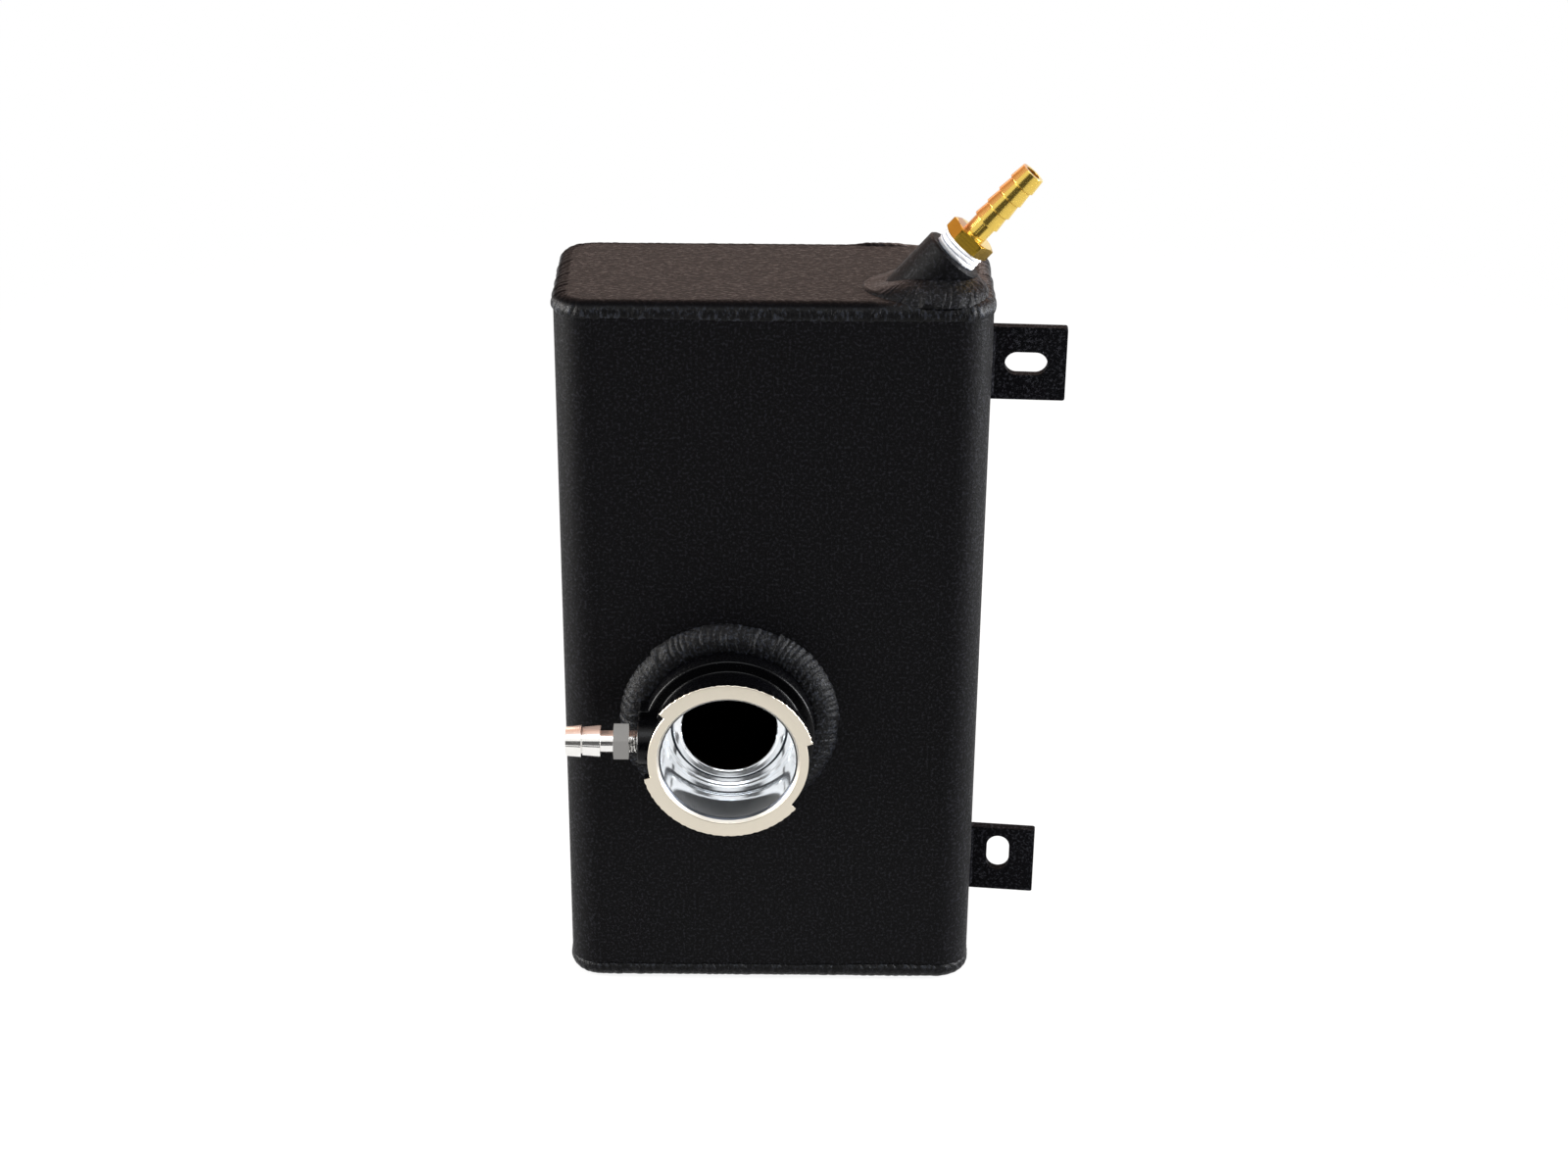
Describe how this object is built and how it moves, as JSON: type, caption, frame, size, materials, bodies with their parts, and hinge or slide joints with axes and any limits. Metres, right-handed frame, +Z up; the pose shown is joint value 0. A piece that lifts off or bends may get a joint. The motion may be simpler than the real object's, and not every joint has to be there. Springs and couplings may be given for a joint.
{
  "type": "coolant expansion tank",
  "caption": "Upright welded aluminium coolant expansion tank with a machined filler neck on the front, an overflow hose barb, an angled vent barb on top and slotted side tabs.",
  "frame": {"origin": "middle of the bottom plate's underside, which the tank stands on", "axes": "+Z up, -Y out of the filler neck on the front face, +X towards the mounting tabs"},
  "size_m": [0.1659, 0.0952, 0.2944],
  "materials": {
    "powder_coat": "fine-textured black powder coat on aluminium",
    "neck_metal": "bare machined face and throat, powder coated outside",
    "bright_nickel": "bright nickel plate",
    "brass": "turned, bright",
    "tape": "soft white thread tape"
  },
  "bodies": {
    "root": {"tank_body": "powder_coat", "bottom_plate": "powder_coat", "top_plate": "powder_coat", "top_weld": "powder_coat", "bottom_weld": "powder_coat", "filler_neck": "neck_metal", "neck_weld": "powder_coat", "overflow_barb": "bright_nickel", "vent_bung": "powder_coat", "bung_weld": "powder_coat", "vent_barb": "brass", "thread_tape": "tape", "upper_tab": "powder_coat", "lower_tab": "powder_coat", "upper_tab_weld": "powder_coat", "upper_tab_rear_weld": "powder_coat", "lower_tab_weld": "powder_coat", "lower_tab_rear_weld": "powder_coat", "outlet_bung": "powder_coat", "outlet_weld": "powder_coat"}
  },
  "joints": []
}
